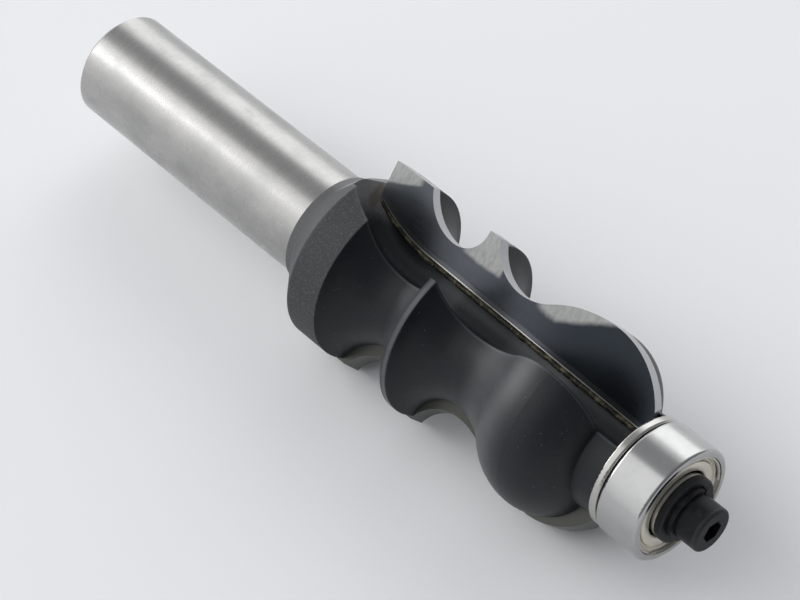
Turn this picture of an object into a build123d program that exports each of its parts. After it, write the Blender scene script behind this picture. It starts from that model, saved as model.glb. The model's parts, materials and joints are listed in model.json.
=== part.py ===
from build123d import *
import math
import os

# A two-wing profile router bit with a ball-bearing guide, lying on its side as it comes to rest.
#
# The tool axis is X: the middle of the shank's plain length is the origin, and the guide bearing is at +X. Z is up.
# Every cross-section is drawn in the tool's own axes, where "across" lies along wing A's carbide face and
# "above" is square to that face. REST_ROLL turns these axes about X, so that the bit rests on the cutting
# edge of one wing and the heel of the other. Wing B is wing A turned half a turn.

# ---------------------------------------------------------------------------- driving dimensions, mm, degrees
REST_ROLL = 52.7

SHANK_DIAMETER = 12.0
SHANK_LENGTH = 34.8
SHANK_CHAMFER = 0.6

COLLAR_STEP = 0.35
COLLAR_LENGTH = 0.8
SHOULDER_LENGTH = 3.7

# Cutting profile on the carbide face, along the axis from the rear end of the first crest.
CUTTING_DIAMETER = 22.0
CREST_1_LENGTH = 5.25
GROOVE_1_TO_FLOOR = 5.05
GROOVE_1_DEPTH = 3.42
GROOVE_1_FRONT_RADIUS = 3.1
CREST_2_LENGTH = 1.45
GROOVE_2_TO_FLOOR = 4.8
GROOVE_2_DEPTH = 3.37
GROOVE_2_FRONT_RADIUS = 6.5
FLOOR_2_TO_BEAD = 11.25
BEAD_FRONT_RADIUS = 8.7
PILOT_STEP = 0.0

# The steel behind the carbide stands back from the cutting profile by these amounts.
CREST_BACKING = 0.95
FLOOR_BACKING = 0.8
REAR_BACKING = 0.15
LIP_1_BACKING = 1.0
WALL_BACKING = 0.6
LIP_2_BACKING = 0.1
BODY_GROOVE_1_FRONT_RADIUS = 4.0
BODY_GROOVE_2_FRONT_RADIUS = 9.0
BODY_BEAD_SHIFT = 0.4
BODY_BEAD_FRONT_RADIUS = 5.9
NECK_BACKING = 0.45
NOSE_GAP = 0.2

# Carbide tips and their seats.
FACE_OFFSET = 1.42
TIP_THICKNESS = 2.05
TIP_RELIEF_ANGLE = 14.0
TIP_CREST_2_RELIEF = 0.2
TIP_INNER_AT_REAR = 4.8
TIP_INNER_AT_NOSE = 4.05
TIP_INNER_CURVE_LENGTH = 8.4
TIP_INNER_CURVE_RADIUS = 20.0
BRAZE_WIDTH = 0.25
BRAZE_HEIGHT_BELOW_FACE = 0.25

# Gullets.
GULLET_BELOW_FACE = 0.42
GULLET_FLOOR_RADIUS = 2.2
GULLET_FLOOR_ACROSS = 4.0
HEEL_ANGLE = 46.0
GULLET_RUNOUT_RADIUS = 12.0
GULLET_RUNOUT_START = 7.9
GASH_HEIGHT = 8.25
GASH_SLOPE = 19.0
GASH_DEPTH = 4.5
GASH_RISE = 3.0

# Guide bearing, 12.7 x 4.76 x 4.98, shielded on both sides. Shares are of the height of its section.
BEARING_OD = 12.7
BEARING_BORE = 4.76
BEARING_WIDTH = 4.98
BEARING_CORNER_SHARE = 0.088
BALL_SHARE = 0.6
BALL_COUNT = 7
RACE_CLEARANCE = 0.04
LAND_SHARE = 0.195
RIM_WALL_SHARE = 0.184
SHIELD_THICKNESS = 0.2
SHIELD_SEAT_DEPTH = 0.6
SHIELD_GAP = 0.14
SNAP_WIRE_DIAMETER = 0.34
SNAP_GAP_ANGLE = 129.0
SNAP_GAP_CENTRE = 235.0
CAGE_WIDTH_SHARE = 0.21
CAGE_THICKNESS_SHARE = 0.055
CAGE_POCKET_CLEARANCE = 0.06
RIVET_SHARE = 0.24
RIVET_HEAD_SHARE = 0.385
RIVET_HEAD_HEIGHT_SHARE = 0.03
FIT_CLEARANCE = 0.02

# Spacer, washers and screw.
SPACER_DIAMETER = 12.4
SPACER_THICKNESS = 1.0
SPACER_EDGE_RADIUS = 0.3
SPACER_BOSS_INSET = 0.2
SPACER_BOSS_HEIGHT = 0.16
JOURNAL_SHORT = 0.25
WASHER_OVERLAP = 0.06
WASHER_THICKNESS = 0.9
WASHER_EDGE = 0.15
LOCK_WASHER_DIAMETER = 5.8
LOCK_WASHER_THICKNESS = 0.6
LOCK_WASHER_SPLIT = 0.35
SCREW_DIAMETER = 2.84
SCREW_LENGTH = 9.0
SCREW_HEAD_DIAMETER = 4.85
SCREW_HEAD_HEIGHT = 2.6
SCREW_HEAD_EDGE = 0.3
HEX_ACROSS_FLATS = 2.1
HEX_DEPTH = 1.4
SCREW_HOLE_SPARE = 1.2
THREAD_CLEARANCE = 0.03

# ---------------------------------------------------------------------------- sizes that follow from them
SHANK_RADIUS = SHANK_DIAMETER / 2
SHANK_END_X = -(SHANK_LENGTH + SHANK_CHAMFER) / 2
COLLAR_X = SHANK_END_X + SHANK_LENGTH
COLLAR_RADIUS = SHANK_RADIUS + COLLAR_STEP
JOURNAL_RADIUS = BEARING_BORE / 2 - FIT_CLEARANCE / 2
NECK_RADIUS = BEARING_OD / 2 - NECK_BACKING
BEARING_SECTION = (BEARING_OD - BEARING_BORE) / 2
BEARING_CORNER = BEARING_CORNER_SHARE * BEARING_SECTION
PITCH_RADIUS = (BEARING_OD + BEARING_BORE) / 4
BALL_RADIUS = BALL_SHARE * BEARING_SECTION / 2
OUTER_LAND_RADIUS = PITCH_RADIUS + LAND_SHARE * BEARING_SECTION
INNER_LAND_RADIUS = PITCH_RADIUS - LAND_SHARE * BEARING_SECTION
SHIELD_SEAT_RADIUS = BEARING_OD / 2 - RIM_WALL_SHARE * BEARING_SECTION
CAGE_WIDTH = CAGE_WIDTH_SHARE * BEARING_SECTION
CAGE_INNER_RADIUS = PITCH_RADIUS - CAGE_WIDTH / 2
CAGE_OUTER_RADIUS = PITCH_RADIUS + CAGE_WIDTH / 2
CAGE_THICKNESS = CAGE_THICKNESS_SHARE * BEARING_SECTION
RIVET_RADIUS = RIVET_SHARE * CAGE_WIDTH
RIVET_HEAD_RADIUS = RIVET_HEAD_SHARE * CAGE_WIDTH
RIVET_HEAD_HEIGHT = RIVET_HEAD_HEIGHT_SHARE * BEARING_SECTION
SPACER_BOSS_RADIUS = INNER_LAND_RADIUS - SPACER_BOSS_INSET
WASHER_RADIUS = INNER_LAND_RADIUS + WASHER_OVERLAP
SCREW_RADIUS = SCREW_DIAMETER / 2
WING_TURNS = (0, 180)


class CutterProfile:
    """One outline of the cutter, from the rear end of its first crest to the front of its bead.

    Args:
        rear, lip_1, floor_1, lip_2, floor_2, bead: places along the axis.
        crest: radius of the two crests and the bead.
        depth_1, depth_2: how far the two grooves go below the crests.
        front_1, front_2, bead_front: arc radii on the front side of each groove and of the bead.
        end: radius at which the bead's front arc ends.
    """

    def __init__(self, rear, crest, lip_1, floor_1, depth_1, front_1, lip_2, floor_2, depth_2, front_2,
                 bead, bead_front, end):
        self.rear = (rear, crest)
        self.lip_1 = (lip_1, crest)
        self.floor_1 = (floor_1, crest - depth_1)
        self.wall_foot = (floor_1 + front_1, crest - depth_1 + front_1)
        self.tip_2 = (floor_1 + front_1, crest)
        self.lip_2 = (lip_2, crest)
        self.floor_2 = (floor_2, crest - depth_2)
        self.bead = (bead, crest)
        self.front_1 = front_1
        run = bead - floor_2
        radii = (run**2 + depth_2**2) / (2 * depth_2)
        turn = math.asin(run / radii)
        self.ogee = (floor_2 + front_2 * math.sin(turn), crest - depth_2 + front_2 * (1 - math.cos(turn)))
        self.ogee_angle = math.degrees(turn)
        drop = crest - bead_front - end
        self.end = (bead + math.sqrt(bead_front**2 - drop**2), end)

    def draw(self):
        """Draw the outline from its rear end to its front end in the current line."""
        Line(self.rear, self.lip_1)
        self.draw_rear_arc(self.lip_1, self.floor_1)
        TangentArc(self.floor_1, self.wall_foot, tangent=(1, 0))
        Line(self.wall_foot, self.tip_2)
        Line(self.tip_2, self.lip_2)
        self.draw_rear_arc(self.lip_2, self.floor_2)
        TangentArc(self.floor_2, self.ogee, tangent=(1, 0))
        TangentArc(self.bead, self.ogee, tangent=(-1, 0))
        TangentArc(self.bead, self.end, tangent=(1, 0))

    @staticmethod
    def draw_rear_arc(lip, floor):
        """Draw a groove's rear arc, which is level at the floor and ends at the lip."""
        TangentArc(floor, lip, tangent=(-1, 0))


REAR_X = COLLAR_X + COLLAR_LENGTH + SHOULDER_LENGTH
TIP_LIP_1 = REAR_X - REAR_BACKING + CREST_1_LENGTH
TIP_FLOOR_1 = TIP_LIP_1 + GROOVE_1_TO_FLOOR
TIP_LIP_2 = TIP_FLOOR_1 + GROOVE_1_FRONT_RADIUS + CREST_2_LENGTH
TIP_FLOOR_2 = TIP_LIP_2 + GROOVE_2_TO_FLOOR
TIP_BEAD = TIP_FLOOR_2 + FLOOR_2_TO_BEAD
TIP_PROFILE = CutterProfile(
    rear=REAR_X - REAR_BACKING, crest=math.sqrt((CUTTING_DIAMETER / 2) ** 2 - FACE_OFFSET**2),
    lip_1=TIP_LIP_1, floor_1=TIP_FLOOR_1, depth_1=GROOVE_1_DEPTH, front_1=GROOVE_1_FRONT_RADIUS,
    lip_2=TIP_LIP_2, floor_2=TIP_FLOOR_2, depth_2=GROOVE_2_DEPTH, front_2=GROOVE_2_FRONT_RADIUS,
    bead=TIP_BEAD, bead_front=BEAD_FRONT_RADIUS, end=BEARING_OD / 2 + PILOT_STEP)
TIP_RELIEF = TIP_THICKNESS * math.tan(math.radians(TIP_RELIEF_ANGLE))
TIP_BACK_PROFILE = CutterProfile(
    rear=REAR_X - REAR_BACKING + TIP_RELIEF, crest=TIP_PROFILE.rear[1] - TIP_RELIEF,
    lip_1=TIP_LIP_1 - TIP_RELIEF, floor_1=TIP_FLOOR_1, depth_1=GROOVE_1_DEPTH,
    front_1=GROOVE_1_FRONT_RADIUS + TIP_CREST_2_RELIEF, lip_2=TIP_LIP_2 - TIP_CREST_2_RELIEF, floor_2=TIP_FLOOR_2,
    depth_2=GROOVE_2_DEPTH, front_2=GROOVE_2_FRONT_RADIUS + TIP_RELIEF,
    bead=TIP_BEAD, bead_front=BEAD_FRONT_RADIUS - TIP_RELIEF, end=BEARING_OD / 2 + PILOT_STEP)
BODY_CREST = CUTTING_DIAMETER / 2 - CREST_BACKING
BODY_FLOOR_1 = TIP_FLOOR_1 + GROOVE_1_FRONT_RADIUS + WALL_BACKING - BODY_GROOVE_1_FRONT_RADIUS
BODY_PROFILE = CutterProfile(
    rear=REAR_X, crest=BODY_CREST,
    lip_1=TIP_LIP_1 - LIP_1_BACKING, floor_1=BODY_FLOOR_1, depth_1=GROOVE_1_DEPTH + FLOOR_BACKING,
    front_1=BODY_GROOVE_1_FRONT_RADIUS,
    lip_2=TIP_LIP_2 - LIP_2_BACKING, floor_2=TIP_FLOOR_2, depth_2=GROOVE_2_DEPTH + FLOOR_BACKING,
    front_2=BODY_GROOVE_2_FRONT_RADIUS,
    bead=TIP_BEAD - BODY_BEAD_SHIFT, bead_front=BODY_BEAD_FRONT_RADIUS, end=NECK_RADIUS)

NOSE_X = TIP_PROFILE.end[0] + NOSE_GAP
BEARING_REAR = NOSE_X + SPACER_THICKNESS + SPACER_BOSS_HEIGHT
BEARING_MIDDLE = BEARING_REAR + BEARING_WIDTH / 2
BEARING_FRONT = BEARING_REAR + BEARING_WIDTH
WASHER_FRONT = BEARING_FRONT + WASHER_THICKNESS
LOCK_WASHER_FRONT = WASHER_FRONT + LOCK_WASHER_THICKNESS
HEAD_FRONT = LOCK_WASHER_FRONT + SCREW_HEAD_HEIGHT
JOURNAL_END = BEARING_FRONT - JOURNAL_SHORT
CLEAR_OF_CUTTER = CUTTING_DIAMETER


def across(turn):
    """Direction along the carbide face of the wing turned by this angle, away from the axis."""
    angle = math.radians(REST_ROLL + turn)
    return Vector(0, math.cos(angle), math.sin(angle))


def above(turn):
    """Direction square to the carbide face of the wing turned by this angle, out of the steel."""
    return Vector(1, 0, 0).cross(across(turn))


def section_plane(x, turn):
    """Plane square to the tool axis at x: its own x runs across the wing's face, its y above it."""
    return Plane(origin=(x, 0, 0), x_dir=across(turn), z_dir=(1, 0, 0))


def face_plane(height, turn):
    """Plane parallel to a wing's carbide face: its own x runs along the tool, its y across the face."""
    return Plane(origin=above(turn) * height, x_dir=(1, 0, 0), z_dir=above(turn))


# ---------------------------------------------------------------------------- gullet section
HEEL_RISE = math.radians(HEEL_ANGLE)
GULLET_LEVEL = FACE_OFFSET - GULLET_BELOW_FACE
FLOOR_CENTRE = (GULLET_FLOOR_ACROSS, GULLET_LEVEL + GULLET_FLOOR_RADIUS)
FLOOR_MIDDLE = (GULLET_FLOOR_ACROSS - GULLET_FLOOR_RADIUS, FLOOR_CENTRE[1])
HEEL_FOOT = (FLOOR_CENTRE[0] - GULLET_FLOOR_RADIUS * math.sin(HEEL_RISE),
             FLOOR_CENTRE[1] + GULLET_FLOOR_RADIUS * math.cos(HEEL_RISE))
RUNOUT_X = REAR_X + GULLET_RUNOUT_START
RUNOUT_ACROSS = FLOOR_MIDDLE[0] + GULLET_RUNOUT_RADIUS


def draw_gullet(reach):
    """Draw the gullet's section, closed at this distance across from the axis."""
    heel_top = HEEL_FOOT[1] + (reach - HEEL_FOOT[0]) * math.tan(HEEL_RISE)
    ThreePointArc((GULLET_FLOOR_ACROSS, GULLET_LEVEL), FLOOR_MIDDLE, HEEL_FOOT)
    Polyline(HEEL_FOOT, (reach, heel_top), (reach, GULLET_LEVEL), (GULLET_FLOOR_ACROSS, GULLET_LEVEL))


# ---------------------------------------------------------------------------- carbide seat outline
TIP_REAR_X = TIP_PROFILE.rear[0]
TIP_FRONT_X = TIP_PROFILE.end[0]
INNER_CURVE_X = TIP_REAR_X + TIP_INNER_CURVE_LENGTH
INNER_SLOPE = math.atan2(TIP_INNER_AT_NOSE - TIP_INNER_AT_REAR, TIP_FRONT_X - INNER_CURVE_X)


def draw_seat(rear, front, inset, reach):
    """Draw the region outside a carbide tip's inner edge.

    Args:
        rear, front: ends of the region along the tool.
        inset: how far the edge is moved towards the axis.
        reach: distance across from the axis at which the region is closed.
    """
    radius = TIP_INNER_CURVE_RADIUS + inset
    start = (INNER_CURVE_X, TIP_INNER_AT_REAR - inset)
    centre = (start[0] - radius * math.sin(INNER_SLOPE), start[1] + radius * math.cos(INNER_SLOPE))
    rear_end = (rear, centre[1] - math.sqrt(radius**2 - (centre[0] - rear) ** 2))
    front_end = (front, start[1] + (front - start[0]) * math.tan(INNER_SLOPE))
    TangentArc(start, rear_end, tangent=(-math.cos(INNER_SLOPE), -math.sin(INNER_SLOPE)))
    Polyline(rear_end, (rear, reach), (front, reach), front_end, start)


# ---------------------------------------------------------------------------- shank and cutter body
NECK_START = BODY_PROFILE.end[0]
SEAT_LEVEL = FACE_OFFSET - TIP_THICKNESS

with BuildPart() as cutter_body:
    with BuildSketch(Plane.XY) as turned_section:
        with BuildLine():
            Polyline((SHANK_END_X, 0), (SHANK_END_X, SHANK_RADIUS - SHANK_CHAMFER),
                     (SHANK_END_X + SHANK_CHAMFER, SHANK_RADIUS),
                     (COLLAR_X, SHANK_RADIUS), (COLLAR_X, COLLAR_RADIUS),
                     (COLLAR_X + COLLAR_LENGTH, COLLAR_RADIUS), BODY_PROFILE.rear)
            BODY_PROFILE.draw()
            Polyline(BODY_PROFILE.end, (NOSE_X, NECK_RADIUS), (NOSE_X, JOURNAL_RADIUS),
                     (JOURNAL_END, JOURNAL_RADIUS), (JOURNAL_END, 0), (SHANK_END_X, 0))
        make_face()
    revolve(axis=Axis.X)
    for wing_turn in WING_TURNS:
        with BuildSketch(section_plane(RUNOUT_X, wing_turn)) as gullet_section:
            with BuildLine():
                draw_gullet(CLEAR_OF_CUTTER)
            make_face()
        extrude(amount=NOSE_X - RUNOUT_X + NOSE_GAP, mode=Mode.SUBTRACT)
        with BuildSketch(section_plane(RUNOUT_X, wing_turn)) as runout_section:
            with BuildLine():
                draw_gullet(RUNOUT_ACROSS - FIT_CLEARANCE)
            make_face()
        runout_centre = Vector(RUNOUT_X, 0, 0) + across(wing_turn) * RUNOUT_ACROSS
        revolve(axis=Axis(runout_centre, above(wing_turn)), revolution_arc=-90, mode=Mode.SUBTRACT)
        with BuildSketch(face_plane(SEAT_LEVEL, wing_turn)) as seat_outline:
            with BuildLine():
                draw_seat(TIP_REAR_X, NOSE_X, BRAZE_WIDTH, CLEAR_OF_CUTTER)
            make_face()
        extrude(amount=TIP_THICKNESS + GULLET_FLOOR_RADIUS, mode=Mode.SUBTRACT)
        with BuildSketch(face_plane(-GASH_DEPTH + GULLET_LEVEL, wing_turn)) as gash_outline:
            with BuildLine():
                gash_drop = (REAR_X - COLLAR_X) * math.tan(math.radians(GASH_SLOPE))
                Polyline((COLLAR_X, GASH_HEIGHT - gash_drop), (REAR_X, GASH_HEIGHT),
                         (REAR_X, CLEAR_OF_CUTTER), (COLLAR_X, CLEAR_OF_CUTTER), close=True)
            make_face()
        extrude(amount=GASH_DEPTH + FACE_OFFSET + GASH_RISE, mode=Mode.SUBTRACT)
    with Locations(Plane(origin=(JOURNAL_END, 0, 0), z_dir=(1, 0, 0))):
        Hole(radius=SCREW_RADIUS + THREAD_CLEARANCE,
             depth=SCREW_LENGTH - (LOCK_WASHER_FRONT - JOURNAL_END) + SCREW_HOLE_SPARE)
cutter_body.part.label = "cutter_body"

# ---------------------------------------------------------------------------- carbide tips and braze seams
parts = {"cutter_body": cutter_body}
for wing, wing_turn in zip("ab", WING_TURNS):
    with BuildPart() as carbide_tip:
        for height, profile in ((FACE_OFFSET, TIP_PROFILE), (SEAT_LEVEL, TIP_BACK_PROFILE)):
            with BuildSketch(face_plane(height, wing_turn)):
                with BuildLine():
                    profile.draw()
                    Polyline(profile.end, (profile.end[0], 0), (profile.rear[0], 0), profile.rear)
                make_face()
        loft(ruled=True)
        with BuildSketch(face_plane(SEAT_LEVEL, wing_turn)) as tip_inner:
            with BuildLine():
                draw_seat(TIP_REAR_X, TIP_FRONT_X, 0, CLEAR_OF_CUTTER)
            make_face()
        extrude(amount=TIP_THICKNESS, mode=Mode.INTERSECT)
    parts[f"carbide_tip_{wing}"] = carbide_tip

    with BuildPart() as braze_seam:
        with BuildSketch(face_plane(SEAT_LEVEL, wing_turn)) as seam_outline:
            with BuildLine():
                draw_seat(TIP_REAR_X, TIP_FRONT_X, BRAZE_WIDTH, BODY_CREST)
            make_face()
            with BuildLine():
                draw_seat(TIP_REAR_X, TIP_FRONT_X, 0, BODY_CREST)
            make_face(mode=Mode.SUBTRACT)
        extrude(amount=TIP_THICKNESS - BRAZE_HEIGHT_BELOW_FACE)
    parts[f"braze_seam_{wing}"] = braze_seam

# ---------------------------------------------------------------------------- guide bearing
with BuildPart() as spacer_disc:
    with BuildSketch(Plane.XY):
        with BuildLine():
            Polyline((NOSE_X, JOURNAL_RADIUS + FIT_CLEARANCE), (NOSE_X, SPACER_DIAMETER / 2),
                     (NOSE_X + SPACER_THICKNESS, SPACER_DIAMETER / 2),
                     (NOSE_X + SPACER_THICKNESS, SPACER_BOSS_RADIUS), (BEARING_REAR, SPACER_BOSS_RADIUS),
                     (BEARING_REAR, JOURNAL_RADIUS + FIT_CLEARANCE), close=True)
        make_face()
    revolve(axis=Axis.X)
    rim = spacer_disc.edges().filter_by(GeomType.CIRCLE).group_by(SortBy.RADIUS)[-1]
    fillet(rim, SPACER_EDGE_RADIUS)
parts["spacer_disc"] = spacer_disc

with BuildPart() as bearing_outer_ring:
    with BuildSketch(Plane.XY):
        with BuildLine():
            Polyline((BEARING_REAR, SHIELD_SEAT_RADIUS), (BEARING_REAR, BEARING_OD / 2),
                     (BEARING_FRONT, BEARING_OD / 2), (BEARING_FRONT, SHIELD_SEAT_RADIUS),
                     (BEARING_FRONT - SHIELD_SEAT_DEPTH, SHIELD_SEAT_RADIUS),
                     (BEARING_FRONT - SHIELD_SEAT_DEPTH, OUTER_LAND_RADIUS),
                     (BEARING_REAR + SHIELD_SEAT_DEPTH, OUTER_LAND_RADIUS),
                     (BEARING_REAR + SHIELD_SEAT_DEPTH, SHIELD_SEAT_RADIUS), close=True)
        make_face()
        with Locations((BEARING_MIDDLE, PITCH_RADIUS)):
            Circle(BALL_RADIUS + RACE_CLEARANCE, mode=Mode.SUBTRACT)
    revolve(axis=Axis.X)
    rim = bearing_outer_ring.edges().filter_by(GeomType.CIRCLE).group_by(SortBy.RADIUS)[-1]
    fillet(rim, BEARING_CORNER)
parts["bearing_outer_ring"] = bearing_outer_ring

with BuildPart() as bearing_inner_ring:
    with BuildSketch(Plane.XY):
        with Locations((BEARING_MIDDLE, (BEARING_BORE / 2 + INNER_LAND_RADIUS) / 2)):
            Rectangle(BEARING_WIDTH, INNER_LAND_RADIUS - BEARING_BORE / 2)
        with Locations((BEARING_MIDDLE, PITCH_RADIUS)):
            Circle(BALL_RADIUS + RACE_CLEARANCE, mode=Mode.SUBTRACT)
    revolve(axis=Axis.X)
parts["bearing_inner_ring"] = bearing_inner_ring

for number, ball_place in enumerate(PolarLocations(PITCH_RADIUS, BALL_COUNT), start=1):
    with BuildPart() as ball:
        with Locations(section_plane(BEARING_MIDDLE, 0).location * ball_place):
            Sphere(BALL_RADIUS)
    parts[f"ball_{number}"] = ball

for side, lean in (("rear", -1), ("front", 1)):
    with BuildPart() as cage_half:
        with BuildSketch(section_plane(BEARING_MIDDLE, 0)):
            Circle(CAGE_OUTER_RADIUS)
            Circle(CAGE_INNER_RADIUS, mode=Mode.SUBTRACT)
        extrude(amount=lean * CAGE_THICKNESS)
        with Locations(section_plane(BEARING_MIDDLE, 0)):
            with PolarLocations(PITCH_RADIUS, BALL_COUNT):
                Sphere(BALL_RADIUS + CAGE_POCKET_CLEARANCE + CAGE_THICKNESS)
        with BuildSketch(section_plane(BEARING_MIDDLE, 0)):
            Circle(CAGE_OUTER_RADIUS)
            Circle(CAGE_INNER_RADIUS, mode=Mode.SUBTRACT)
        extrude(amount=lean * BEARING_WIDTH / 2, mode=Mode.INTERSECT)
        with Locations(section_plane(BEARING_MIDDLE, 0)):
            with PolarLocations(PITCH_RADIUS, BALL_COUNT):
                Sphere(BALL_RADIUS + CAGE_POCKET_CLEARANCE, mode=Mode.SUBTRACT)
            with PolarLocations(PITCH_RADIUS, BALL_COUNT, start_angle=180 / BALL_COUNT):
                Cylinder(RIVET_RADIUS, 4 * CAGE_THICKNESS, mode=Mode.SUBTRACT)
    parts[f"cage_half_{side}"] = cage_half

with BuildPart() as cage_rivets:
    with Locations(section_plane(BEARING_MIDDLE, 0)):
        with PolarLocations(PITCH_RADIUS, BALL_COUNT, start_angle=180 / BALL_COUNT):
            Cylinder(RIVET_RADIUS, 2 * CAGE_THICKNESS)
    for lean in (-1, 1):
        head_plane = section_plane(BEARING_MIDDLE + lean * (CAGE_THICKNESS + RIVET_HEAD_HEIGHT / 2), 0)
        with Locations(head_plane):
            with PolarLocations(PITCH_RADIUS, BALL_COUNT, start_angle=180 / BALL_COUNT):
                Cylinder(RIVET_HEAD_RADIUS, RIVET_HEAD_HEIGHT)
parts["cage_rivets"] = cage_rivets

SNAP_RADIUS = SHIELD_SEAT_RADIUS - SNAP_WIRE_DIAMETER / 2
for side, face, inward in (("rear", BEARING_REAR, 1), ("front", BEARING_FRONT, -1)):
    shield_face = face + inward * (SHIELD_SEAT_DEPTH - SHIELD_THICKNESS)
    with BuildPart() as bearing_shield:
        with BuildSketch(section_plane(shield_face, 0)):
            Circle(SHIELD_SEAT_RADIUS - FIT_CLEARANCE)
            Circle(INNER_LAND_RADIUS + SHIELD_GAP, mode=Mode.SUBTRACT)
        extrude(amount=inward * SHIELD_THICKNESS)
    parts[f"bearing_shield_{side}"] = bearing_shield

    wire_start = SNAP_GAP_CENTRE + SNAP_GAP_ANGLE / 2
    with BuildPart() as snap_ring:
        with BuildLine(section_plane(shield_face - inward * SNAP_WIRE_DIAMETER / 2, 0)) as wire_path:
            CenterArc((0, 0), SNAP_RADIUS, wire_start, 360 - SNAP_GAP_ANGLE)
        with BuildSketch(Plane(origin=wire_path.line @ 0, z_dir=wire_path.line % 0)):
            Circle(SNAP_WIRE_DIAMETER / 2)
        sweep()
    parts[f"snap_ring_{side}"] = snap_ring

# ---------------------------------------------------------------------------- washers and screw
with BuildPart() as flat_washer:
    with BuildSketch(section_plane(BEARING_FRONT, 0)):
        Circle(WASHER_RADIUS)
        Circle(SCREW_RADIUS + FIT_CLEARANCE, mode=Mode.SUBTRACT)
    extrude(amount=WASHER_THICKNESS)
    rim = flat_washer.edges().filter_by(GeomType.CIRCLE).group_by(SortBy.RADIUS)[-1]
    chamfer(rim, WASHER_EDGE)
parts["flat_washer"] = flat_washer

with BuildPart() as lock_washer:
    with BuildSketch(section_plane(WASHER_FRONT, 0)):
        Circle(LOCK_WASHER_DIAMETER / 2)
        Circle(SCREW_RADIUS + FIT_CLEARANCE, mode=Mode.SUBTRACT)
        with Locations((LOCK_WASHER_DIAMETER / 2, 0)):
            Rectangle(LOCK_WASHER_DIAMETER, LOCK_WASHER_SPLIT, mode=Mode.SUBTRACT)
    extrude(amount=LOCK_WASHER_THICKNESS)
parts["lock_washer"] = lock_washer

with BuildPart() as cap_screw:
    with BuildSketch(section_plane(LOCK_WASHER_FRONT, 0)):
        Circle(SCREW_HEAD_DIAMETER / 2)
    extrude(amount=SCREW_HEAD_HEIGHT)
    fillet(cap_screw.edges().sort_by(Axis.X)[-1], SCREW_HEAD_EDGE)
    with BuildSketch(section_plane(LOCK_WASHER_FRONT, 0)):
        Circle(SCREW_RADIUS)
    extrude(amount=-SCREW_LENGTH)
    with BuildSketch(section_plane(HEAD_FRONT, 0)):
        RegularPolygon(HEX_ACROSS_FLATS / 2, 6, major_radius=False)
    extrude(amount=-HEX_DEPTH, mode=Mode.SUBTRACT)
parts["cap_screw"] = cap_screw

# ---------------------------------------------------------------------------- write one STEP per piece
os.makedirs("parts", exist_ok=True)
for name, piece in parts.items():
    piece.part.label = name
    export_step(piece.part, f"parts/{name}.step")
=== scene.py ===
"""A two-wing profile router bit with a guide bearing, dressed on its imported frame.

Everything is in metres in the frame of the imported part. The tool axis is X, with the middle of
the shank's plain length at the origin. The bit lies on one cutting edge and one heel, so wing
A's carbide face points up and towards -Y. Sizes in the classes are in millimetres.
"""

from __future__ import annotations

import json
import logging
import math
from dataclasses import dataclass, field
from enum import Enum

import bpy
from mathutils import Matrix, Vector

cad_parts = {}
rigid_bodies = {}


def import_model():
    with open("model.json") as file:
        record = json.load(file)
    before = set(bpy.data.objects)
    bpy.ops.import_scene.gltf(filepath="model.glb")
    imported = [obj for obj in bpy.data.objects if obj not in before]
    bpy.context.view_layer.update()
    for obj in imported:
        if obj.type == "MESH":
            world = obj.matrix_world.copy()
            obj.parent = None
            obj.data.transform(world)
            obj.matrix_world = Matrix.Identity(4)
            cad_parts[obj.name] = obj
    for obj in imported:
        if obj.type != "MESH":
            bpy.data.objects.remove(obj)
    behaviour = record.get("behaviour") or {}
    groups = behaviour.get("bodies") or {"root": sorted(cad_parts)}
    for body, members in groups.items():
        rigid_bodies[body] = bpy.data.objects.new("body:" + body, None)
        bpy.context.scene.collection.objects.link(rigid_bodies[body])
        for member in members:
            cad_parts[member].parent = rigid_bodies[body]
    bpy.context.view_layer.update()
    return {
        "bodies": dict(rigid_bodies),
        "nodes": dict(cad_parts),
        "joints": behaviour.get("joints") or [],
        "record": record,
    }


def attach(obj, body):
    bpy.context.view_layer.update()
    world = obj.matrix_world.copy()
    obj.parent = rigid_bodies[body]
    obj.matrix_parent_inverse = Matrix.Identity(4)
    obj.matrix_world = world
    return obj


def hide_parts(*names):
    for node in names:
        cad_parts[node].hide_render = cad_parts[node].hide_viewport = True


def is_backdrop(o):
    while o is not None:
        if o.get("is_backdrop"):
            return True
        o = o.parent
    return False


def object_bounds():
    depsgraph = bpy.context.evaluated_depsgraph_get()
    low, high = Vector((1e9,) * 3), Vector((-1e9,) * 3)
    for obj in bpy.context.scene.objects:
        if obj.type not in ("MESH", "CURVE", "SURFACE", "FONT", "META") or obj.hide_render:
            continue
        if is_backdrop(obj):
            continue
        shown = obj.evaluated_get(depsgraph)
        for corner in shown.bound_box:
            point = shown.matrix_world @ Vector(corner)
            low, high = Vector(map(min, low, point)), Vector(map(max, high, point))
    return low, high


log = logging.getLogger("router_bit")

MM = 0.001
REST_ROLL = math.radians(52.7)
RELIEF_DEPTH = 0.02

Colour = tuple[float, float, float]
Stretch = tuple[float, float, float]  # factor on each axis of the coordinates
Noise = tuple[float, float, float]  # waves per metre, octaves, weight of the finer octaves
Span = tuple[float, float]  # start and end of a step
Zone = tuple[float, float, float]  # middle, half width and fading edge of a band
Wave = tuple[float, float, float]  # height, radians per millimetre and start


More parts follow.
